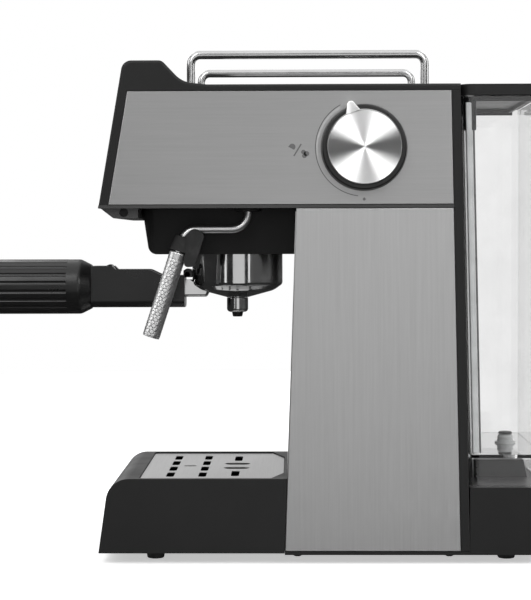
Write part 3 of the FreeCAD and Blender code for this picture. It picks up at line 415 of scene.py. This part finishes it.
def ring_points(centre, axis, radius, count, height=None):
    """Points of a ring about an axis; height(angle) adds to its radius."""
    side = axis.orthogonal().normalized() if abs(axis.x) < 0.9 else Vector((0, 1, 0))
    other = axis.cross(side).normalized()
    points = []
    for step in range(count):
        angle = 2 * math.pi * step / count
        reach = radius + (height(angle) if height else 0)
        points.append(centre + side * math.cos(angle) * reach + other * math.sin(angle) * reach)
    return points


def lathe(name, profile, centre, axis, count=128):
    """Closed solid of revolution; profile is (radius, distance) in metres, a closed loop."""
    loop = list(profile) + [profile[0]]
    rows = [ring_points(centre + axis * distance, axis, radius, count) for radius, distance in loop]
    return from_grid(name, rows)


def arc_points(start, end, radius, centre, count):
    """Points (u, v) on an arc between two angles in degrees."""
    points = []
    for step in range(count + 1):
        angle = math.radians(start + (end - start) * step / count)
        points.append((centre[0] + radius * math.cos(angle), centre[1] + radius * math.sin(angle)))
    return points


def stroke(points, width):
    """Outline of a line of even width through (u, v) points, in the same unit."""
    left, right = [], []
    for index, (u, v) in enumerate(points):
        back = points[max(index - 1, 0)]
        ahead = points[min(index + 1, len(points) - 1)]
        run = math.hypot(ahead[0] - back[0], ahead[1] - back[1])
        nu, nv = -(ahead[1] - back[1]) / run, (ahead[0] - back[0]) / run
        left.append((u + nu * width / 2, v + nv * width / 2))
        right.append((u - nu * width / 2, v - nv * width / 2))
    return left + right[::-1]


def pushed(name, outlines, along):
    """Closed mesh of outlines, each a list of points in metres, pushed along a vector."""
    points, faces = [], []
    for outline in outlines:
        near = range(len(points), len(points) + len(outline))
        far = [corner + len(outline) for corner in near]
        points += [Vector(point) for point in outline] + [Vector(point) + along for point in outline]
        faces += [tuple(reversed(near)), tuple(far)]
        for step in range(len(outline)):
            faces.append((near[step - 1], near[step], far[step], far[step - 1]))
    mesh = bpy.data.meshes.new(name)
    mesh.from_pydata(points, [], faces)
    outward(mesh)
    return mesh


def flat_mark(name, outlines, origin, across, up, look, body):
    """Ink: (u, v) outlines in millimetres, set on a surface and just proud of it."""
    normal = across.cross(up)
    sunk = normal * INK * 0.5
    placed = [[origin + (across * u + up * v) * MM - sunk for u, v in outline]
              for outline in outlines]
    return keep_piece(name, pushed(name, placed, normal * INK * 1.5), look, body)


def paint(node, look):
    """A CAD node that shows as it is, in a better material."""
    NODES[node].data.materials.clear()
    NODES[node].data.materials.append(LOOKS[look])


# ---- stage ----
VIEW_FROM = Vector((1.216, -0.019, 0.211))
VIEW_ALONG = Vector((-1.0, -0.0161, -0.0345))
VIEW_ROLL = -0.15
LENS = 106.1
DIAL_GLOW = 8.0
CORNER_GLOW = 0.7
FLOOR_REACH = 1.6
BACKLIGHT_REACH = 0.45
BACKLIGHT_SPAN = (0.001, 1.3)
SIDE_PANELS = ("column_side_panel_right", "column_side_panel_left", "head_side_panel_right",
               "head_side_panel_left")


def camera():
    """At the user's right, level with the brew group and square to the side panels."""
    data = bpy.data.cameras.new("camera")
    data.sensor_width = 36.0
    data.lens = LENS
    data.clip_end = 30.0
    holder = bpy.data.objects.new("camera", data)
    bpy.context.scene.collection.objects.link(holder)
    facing = VIEW_ALONG.to_track_quat("-Z", "Y").to_matrix()
    roll = Matrix.Rotation(math.radians(VIEW_ROLL), 3, "Z")
    holder.matrix_world = Matrix.Translation(VIEW_FROM) @ (facing @ roll).to_4x4()
    bpy.context.scene.camera = holder


def softbox(name, place, aim, size, glow, across=None):
    """Rectangular light of size (across, up) whose face is glow times as bright as white paper."""
    data = bpy.data.lights.new(name, "AREA")
    data.shape = "RECTANGLE"
    data.size, data.size_y = size
    data.energy = glow * math.pi * size[0] * size[1]
    lamp = bpy.data.objects.new(name, data)
    bpy.context.scene.collection.objects.link(lamp)
    place = Vector(place)
    away = (place - Vector(aim)).normalized()
    side = across or Vector((0, 0, 1)).cross(away).normalized()
    turn = Matrix((side, away.cross(side), away)).transposed().to_4x4()
    lamp.matrix_world = Matrix.Translation(place) @ turn
    return lamp


def group_of(name, pieces):
    group = bpy.data.collections.new(name)
    for piece in pieces:
        group.objects.link(piece)
    return group


def dial_lights(pieces):
    """Lights kept for the lathe-faced pieces, which spread each into a pair of bright wedges."""
    lit = group_of("dial_lit", pieces)
    low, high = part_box("knob_cap")
    aim = Vector((high.x, (low.y + high.y) / 2, (low.z + high.z) / 2))
    tilt = math.radians(38)
    reach = 1.5
    for name, degrees, glow in (("dial_right", 55, DIAL_GLOW), ("dial_left", 125, DIAL_GLOW),
                                ("dial_top", 90, 0.3 * DIAL_GLOW)):
        angle = math.radians(degrees)
        out = Vector((math.cos(tilt), math.sin(tilt) * math.cos(angle),
                      math.sin(tilt) * math.sin(angle)))
        across = Vector((0, -math.sin(angle), math.cos(angle)))
        lamp = softbox(name, aim + out * reach, aim, (0.54, 0.9), glow, across)
        lamp.light_linking.receiver_collection = lit


def floor():
    """Pale round floor, wide enough to fill the view and to catch the object's shadow."""
    sides = 96
    turns = [2 * math.pi * step / sides for step in range(sides)]
    ring = [(FLOOR_REACH * math.cos(turn), FLOOR_REACH * math.sin(turn), 0) for turn in turns]
    mesh = bpy.data.meshes.new("floor")
    mesh.from_pydata(ring, [], [tuple(range(sides))])
    s = Surface("floor_paper")
    s.feed("Base Color", s.blend(s.noise(3, 3), grey(0.93), grey(0.95)))
    s.feed("Roughness", s.span(s.noise(200, 3), 0.7, 0.85))
    s.feed("Normal", s.bump(s.noise(1200, 3), 0.05, 0.0001))
    s.set(Emission_Color=grey(1.0), Emission_Strength=0.5)
    mesh.materials.append(s.material)
    paper = bpy.data.objects.new("floor", mesh)
    paper.visible_glossy = False
    paper.visible_shadow = False
    bpy.context.scene.collection.objects.link(paper)


def backlight():
    """White paper round the object that shows only through what is clear."""
    upward = Vector((0, 0, 1))
    rows = [ring_points(upward * height, upward, BACKLIGHT_REACH, 48) for height in BACKLIGHT_SPAN]
    mesh = from_grid("backlight", rows)
    s = Surface("backlight").set(Base_Color=grey(0.0), Emission_Color=grey(1.0),
                                 Emission_Strength=1.0)
    mesh.materials.append(s.material)
    card = bpy.data.objects.new("backlight", mesh)
    card.visible_camera = False
    card.visible_diffuse = False
    card.visible_glossy = False
    card.visible_shadow = False
    bpy.context.scene.collection.objects.link(card)


def room():
    """White backdrop, with a dim room round the horizon and a bright ceiling for light."""
    world = bpy.data.worlds.new("room")
    bpy.context.scene.world = world
    world.use_nodes = True
    tree = world.node_tree
    tree.nodes.clear()

    def add(kind):
        return tree.nodes.new(kind)

    output = add("ShaderNodeOutputWorld")
    backdrop = add("ShaderNodeBackground")
    backdrop.inputs["Color"].default_value = grey(1.0)
    light = add("ShaderNodeBackground")
    place = add("ShaderNodeTexCoord")
    split = add("ShaderNodeSeparateXYZ")
    tree.links.new(place.outputs["Generated"], split.inputs[0])
    ramp = add("ShaderNodeValToRGB")
    for stop, (height, value) in zip(ramp.color_ramp.elements, ((0.0, 0.03), (1.0, 1.0))):
        stop.position = height
        stop.color = grey(value)
    for height, value in ((0.28, 0.06), (0.62, 0.5), (0.82, 0.95)):
        ramp.color_ramp.elements.new(height).color = grey(value)
    tree.links.new(split.outputs["Z"], ramp.inputs["Fac"])
    tree.links.new(ramp.outputs["Color"], light.inputs["Color"])
    light.inputs["Strength"].default_value = 1.05
    path = add("ShaderNodeLightPath")
    mix = add("ShaderNodeMixShader")
    tree.links.new(path.outputs["Is Camera Ray"], mix.inputs["Fac"])
    tree.links.new(light.outputs[0], mix.inputs[1])
    tree.links.new(backdrop.outputs[0], mix.inputs[2])
    tree.links.new(mix.outputs[0], output.inputs["Surface"])


def lights(turned):
    """Soft lights all round; the card leaves out turned pieces, the corners light side panels."""
    middle = (0, 0, 0.2)
    for side in (-1, 1):
        softbox("key_%d" % side, (1.25, side * 0.62, 1.05), middle, (0.34, 1.0), 5.0)
        softbox("strip_%d" % side, (1.5, side * 0.86, 0.22), middle, (0.16, 0.4), 1.2)
        softbox("left_%d" % side, (-1.3, side * 0.7, 0.9), middle, (0.5, 1.0), 2.5)
    card = softbox("card", (1.9, 0.12, 0.12), (0, 0, 0.12), (1.0, 1.15), 0.8)
    passed = group_of("card_passes", turned)
    for item in passed.collection_objects:
        item.light_linking.link_state = "EXCLUDE"
    card.light_linking.receiver_collection = passed
    panels = group_of("corner_lit", [bpy.data.objects[node + "_skin"] for node in SIDE_PANELS])
    for x in (-1.45, 1.45):
        for y in (-1.45, 1.45):
            name = "corner_%d_%d" % (x > 0, y > 0)
            corner = softbox(name, (x, y, 0.45), middle, (1.2, 1.1), CORNER_GLOW)
            corner.light_linking.receiver_collection = panels
    softbox("front", (0.35, -1.7, 0.8), middle, (1.0, 1.0), 1.6)
    softbox("back", (0.2, 1.8, 0.8), middle, (1.0, 1.0), 1.6)
    softbox("left_card", (-1.9, 0.0, 0.4), middle, (1.2, 1.0), 0.5)


# ---- pieces ----
PANEL_ROUNDING = 0.25 * MM
POINTER_ANGLE = 108.3
POINTER_REACH = 30.4 * MM
TRAY_BACK = -26.5 * MM
TRAY_CLOSES = 0.27 * MM


def shells():
    """Plastic and steel outsides: the CAD shapes with rounded edges."""
    for node, look, rounding in (
            ("base_housing", "body_black", 0.8), ("rear_cover", "body_black", 0.5),
            ("head_housing", "body_black", 0.6), ("head_bottom_cover", "chin_black", 0.5),
            ("group_shroud", "cover_black", 0.9), ("tank_lid", "body_black", 0.8),
            ("tank_dock", "cover_black", 0.6), ("tank_collar", "cover_black", 0.3),
            ("water_tank", "tank_clear", 0.5), ("portafilter_handle", "handle_black", 2.4),
            ("portafilter_grip", "handle_black", 0.9), ("knob_skirt", "handle_black", 0.4),
            ("filter_latch", "handle_black", 0.3), ("wand_grip", "rubber", 0.5),
            ("rubber_feet", "rubber", 0.4),
            ("housing_screws", "screw_black", 0.15), ("wand_gland_nut", "cover_black", 0.3),
            ("cord_gland", "body_black", 0.4), ("power_button", "body_black", 0.3),
            ("one_cup_button", "body_black", 0.3), ("two_cup_button", "body_black", 0.3),
            ("tank_valve", "tank_frost", 0.2), ("valve_plunger", "cover_black", 0.2)):
        dress(node, look, rounding * MM)
    tank = bpy.data.objects["water_tank_skin"]
    tank.visible_diffuse = False
    tank.visible_shadow = False
    tray = dress("drip_tray", "body_black", 1.3 * MM, 4, 24)
    for vertex in tray.data.vertices:
        if vertex.co.y > TRAY_BACK:
            vertex.co.y += TRAY_CLOSES
    for node, look, brush in (
            ("column_side_panel_right", "steel_z", "Z"), ("column_side_panel_left", "steel_z", "Z"),
            ("column_front_panel", "steel_z", "Z"), ("head_side_panel_right", "steel_y", "Y"),
            ("head_side_panel_left", "steel_y", "Y"), ("head_front_panel", "steel_x", "X"),
            ("cup_warmer_plate", "steel_y", "Y"), ("drip_grate", "grate_steel", "X")):
        dress(node, look, PANEL_ROUNDING, 2, 32, brush)


def as_built():
    """CAD nodes whose shape is already right, in better materials."""
    for node, look in {
            "column_frame": "body_black", "button_board": "board", "control_board": "board",
            "indicator_lights": "lamp", "brew_group": "cast", "group_gasket": "rubber",
            "shower_screen": "wand_steel", "shower_screw": "screw", "thermoblock": "cast",
            "heating_element": "screw", "thermostats": "cast", "pump_body": "pump_shell",
            "pump_mounts": "rubber", "pump_bracket": "screw", "inlet_hose": "silicone",
            "pressure_hose": "silicone", "steam_pipes": "wand_steel", "steam_valve_body": "brass",
            "dock_seal": "rubber", "valve_stem": "screw", "filter_basket": "wand_steel",
            "cup_rails": "rail_chrome", "wand_tube": "wand_steel", "portafilter_cup": "chrome",
            "spout_nut": "chrome", "spout_nozzle": "handle_black"}.items():
        paint(node, look)


def knob():
    """Chrome rim and pointer round a lathe-faced disc, over the black skirt."""
    low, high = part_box("knob_cap")
    skirt_low, skirt_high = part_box("knob_skirt")
    centre = Vector((0, (skirt_low.y + skirt_high.y) / 2, (skirt_low.z + skirt_high.z) / 2))
    axis = Vector((1, 0, 0))
    rim, face = 24.2 * MM, 23.3 * MM
    front = high.x
    sunk = front - 0.35 * MM
    profile = [(0, low.x), (rim, low.x), (rim, front - 0.8 * MM),
               (rim - 0.2 * MM, front - 0.25 * MM), (rim - 0.6 * MM, front),
               (face + 0.15 * MM, front), (face, sunk), (0, sunk)]
    mesh = lathe("knob_rim", profile, centre, axis, 160)
    shade(mesh, 28)
    stands_for(keep_piece("knob_rim", mesh, "chrome", "steam_knob"), "knob_cap")

    rows = [ring_points(centre + axis * (sunk + 0.05 * MM), axis, face * share, 160)
            for share in (0.999, 0.9, 0.6, 0.3, 0.08, 0.02)]
    back = [ring_points(centre + axis * (sunk - 0.3 * MM), axis, face * share, 160)
            for share in (0.02, 0.999)]
    disc = from_grid("knob_face", back + rows, capped=True)
    shade(disc, 28)
    turned_about(disc, centre, axis)
    turned = [keep_piece("knob_face", disc, "turned_face", "steam_knob")]

    pointer_angle = math.radians(POINTER_ANGLE)
    out = Vector((0, math.cos(pointer_angle), math.sin(pointer_angle)))
    side = axis.cross(out)
    foot = out * 22.6 * MM
    wide = side * 5.2 * MM
    end = 2.9 * MM
    outline = [foot - wide]
    for step in range(13):
        turn = math.pi * step / 12
        outline.append(out * (POINTER_REACH - end + end * math.sin(turn))
                       - side * (end * math.cos(turn)))
    outline.append(foot + wide)
    start = low.x + 0.4 * MM
    placed = [centre + axis * start + point for point in outline]
    mesh = rounded(pushed("knob_pointer", [placed], axis * (front - start)), 0.5 * MM, 3, 40)
    turned_about(mesh, centre, axis)
    turned.append(keep_piece("knob_pointer", mesh, "turned_face", "steam_knob"))
    return turned


def side_block(name, outline, x_low, x_high, rounding, look, body):
    """Block with a (y, z) outline in metres, between two x, with its edges rounded."""
    placed = [(x_low, y, z) for y, z in outline]
    mesh = pushed(name, [placed], Vector((x_high - x_low, 0, 0)))
    return keep_piece(name, rounded(mesh, rounding, 3, 25), look, body)


def latch_hook():
    """Full block of the latch's hook, between the neck's end and the cup."""
    low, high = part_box("filter_latch")
    back = high.y
    base = low.z + 0.05 * MM
    shape = [(-4.6, 0), (1.6, 0), (1.8, 3.4), (0.6, 5.4), (-2.4, 6.0), (-4.6, 4.6)]
    outline = [(back + y * MM, base + z * MM) for y, z in shape]
    side_block("latch_hook", outline, low.x, high.x, 0.4 * MM, "handle_black", "latch")


def tank_ribs():
    """Frosted guide rib moulded down the inside of each front corner of the tank, with a near-black strip beside
    it as painted shade; the rib's grey is partly its own finish and partly painted shade for the grey band at the
    corner.
    """
    shell = [vertex.co for vertex in NODES["water_tank"].data.vertices]
    foot, mouth = 0.0715, 0.299
    front_low = min(point.y for point in shell if point.z < 0.055)
    front_high = min(point.y for point in shell if point.z > 0.3)
    low_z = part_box("water_tank")[0].z
    lean = (front_high - front_low) / (mouth - low_z)
    start = front_low + lean * (foot - low_z)
    for name, side in (("right", 1), ("left", -1)):
        outer = side * 67.6 * MM
        inner = side * 65.6 * MM
        # The near-black strip is painted shade for the dark line that light bent by the corner draws; the rib's
        # grey partly stands in for the grey band there.
        for part, near, far, look in (("rib", 3.6, 7.6, "tank_frost"),
                                      ("rib_shade_strip", 7.65, 8.7, "tank_painted_shade")):
            outline = [(start + near * MM, foot), (start + far * MM, foot),
                       (front_high + far * MM, mouth), (front_high + near * MM, mouth)]
            side_block("tank_%s_%s" % (part, name), outline, min(outer, inner),
                       max(outer, inner), 0.5 * MM, look, "tank")


def frother():
    """Pressed steel sleeve: rows of small overlapping scales below a plain ring."""
    axis = Vector(JOINTS["sleeve_pull"]["axis"]).normalized()
    low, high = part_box("frother_sleeve")
    radius = 5.75 * MM
    length = (high.z - low.z - 2 * radius * math.hypot(axis.x, axis.y)) / abs(axis.z)
    middle = (low + high) / 2
    start = middle - axis * length / 2
    count, steps = 120, 300
    smooth = 5.0 * MM
    round_scales = 11
    pitch = 2 * math.pi * radius / round_scales
    depth = 0.24 * MM

    def height(angle, along):
        if along < smooth or along > length - 1.2 * MM:
            return 0.0
        u = angle / (2 * math.pi) * round_scales
        v = (along - smooth) / (pitch * 0.62)
        best = 0.0
        for row in range(int(v) - 2, int(v) + 2):
            shift = 0.5 * (row % 2)
            du = (u - shift) - round(u - shift)
            dv = v - row
            reach = math.hypot(du * 2.0, dv - 0.1) if dv > 0.1 else abs(du) * 2.0
            if 0 <= dv <= 1.25 and reach < 1.08:
                rise = (0.35 + 0.65 * min(dv, 1.0)) * min(1.0, (1.08 - reach) / 0.16)
                best = max(best, rise)
        return best * min(1.0, (along - smooth) / MM)

    rows = [ring_points(start + axis * along, axis, radius - lip, count)
            for along, lip in ((30 * MM, 2.6 * MM), (8 * MM, 2.6 * MM), (0.3 * MM, 2.3 * MM),
                               (0.0, 1.0 * MM), (0.25 * MM, 0.3 * MM))]
    for step in range(steps + 1):
        along = 0.9 * MM + (length - 1.4 * MM) * step / steps
        rows.append(ring_points(start + axis * along, axis, radius - depth, count,
                                lambda angle, a=along: depth * height(angle, a)
                                + (depth if a < smooth else 0.0)))
    rows += [ring_points(start + axis * along, axis, radius - lip, count)
             for along, lip in ((length - 0.1 * MM, 0.3 * MM), (length, 0.7 * MM),
                                (length - 0.3 * MM, 1.1 * MM), (length - 20 * MM, 1.15 * MM),
                                (30 * MM, 1.3 * MM))]
    mesh = from_grid("frother_sleeve_pressed", rows)
    shade(mesh, 50)
    piece = keep_piece("frother_sleeve_pressed", mesh, "sleeve_steel", "sleeve")
    stands_for(piece, "frother_sleeve")


def dial_marks():
    """Printed on the right panel: how far the knob turns, and a plain steam sign; beside the arc, a crescent of
    painted light.
    """
    low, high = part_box("knob_skirt")
    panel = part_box("head_side_panel_right")[1].x
    origin = Vector((panel, (low.y + high.y) / 2, (low.z + high.z) / 2))
    across, up = Vector((0, 1, 0)), Vector((0, 0, 1))
    thin = stroke(arc_points(119, 263, 31.3, (0, 0), 60), 0.55)
    flat_mark("dial_arc", [thin], origin, across, up, "print_dark", "machine")
    # Painted highlight: a lighter crescent on the panel between the printed arc and the knob's shadow, tapering
    # away.
    outer = arc_points(121, 226, 30.6, (0, 0), 40)
    inner = []
    for step in range(41):
        share = step / 40
        angle = math.radians(226 + (121 - 226) * share)
        reach = 30.55 - 1.5 * share
        inner.append((reach * math.cos(angle), reach * math.sin(angle)))
    flat_mark("dial_painted_light", [outer + inner], origin, across, up, "painted_light_grey", "machine")
    dot = [(-1.0, -33.2), (0.0, -34.4), (1.3, -33.2), (0.0, -31.9)]
    spot = (-41.6, -1.0)
    drop = [(spot[0] - 7.2, spot[1] + 1.6)]
    drop += arc_points(150, -60, 2.1, (spot[0] - 4.6, spot[1] + 1.5), 14)
    slash = stroke([(spot[0] - 3.6, spot[1] - 4.4), (spot[0] + 1.2, spot[1] + 3.4)], 0.9)
    puffs = [arc_points(0, 345, radius, (spot[0] + u, spot[1] + v), 16)
             for u, v, radius in ((2.6, -1.8, 1.5), (4.6, -2.9, 1.7), (3.2, -4.2, 1.5))]
    flat_mark("dial_signs", [dot, drop, slash] + puffs, origin, across, up, "print_dark",
              "machine")


def button_signs():
    """White signs on the caps: power, one cup, two cups."""
    slide = Vector(JOINTS["power_button_press"]["axis"]).normalized()
    across = Vector((1, 0, 0))
    up = slide.cross(across) * -1
    if up.z < 0:
        up = -up
    for node in ("power_button", "one_cup_button", "two_cup_button"):
        corners = NODES[node].data.vertices
        face = max(corners, key=lambda vertex: -slide.dot(vertex.co)).co
        low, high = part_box(node)
        middle = Vector(((low.x + high.x) / 2, 0, 0))
        level = [vertex.co for vertex in corners
                 if slide.dot(vertex.co) < slide.dot(face) + 0.01 * MM]
        middle.y = (min(p.y for p in level) + max(p.y for p in level)) / 2
        middle.z = (min(p.z for p in level) + max(p.z for p in level)) / 2
        if node == "power_button":
            outlines = [stroke(arc_points(125, 415, 3.4, (0, -0.3), 40), 0.8),
                        stroke([(0, 0.4), (0, 4.1)], 0.8)]
        else:
            outlines = []
            for shift in ((0.0,) if node == "one_cup_button" else (-2.6, 2.6)):
                cup = [(shift - 1.9, 1.0), (shift - 1.5, -2.2), (shift + 1.5, -2.2),
                       (shift + 1.9, 1.0)]
                outlines.append(stroke(cup, 0.55))
                outlines.append(stroke([(shift - 2.1, 1.0), (shift + 2.1, 1.0)], 0.55))
                outlines.append(stroke([(shift, 2.0), (shift + 0.5, 2.8), (shift, 3.6)], 0.5))
        flat_mark(node + "_sign", outlines, middle, across, up, "print_white", node)


shells()
as_built()
turned_pieces = knob()
latch_hook()
tank_ribs()
frother()
dial_marks()
button_signs()
floor()
backlight()
room()
lights(turned_pieces)
dial_lights(turned_pieces)
camera()
bpy.context.scene.view_settings.view_transform = "Standard"
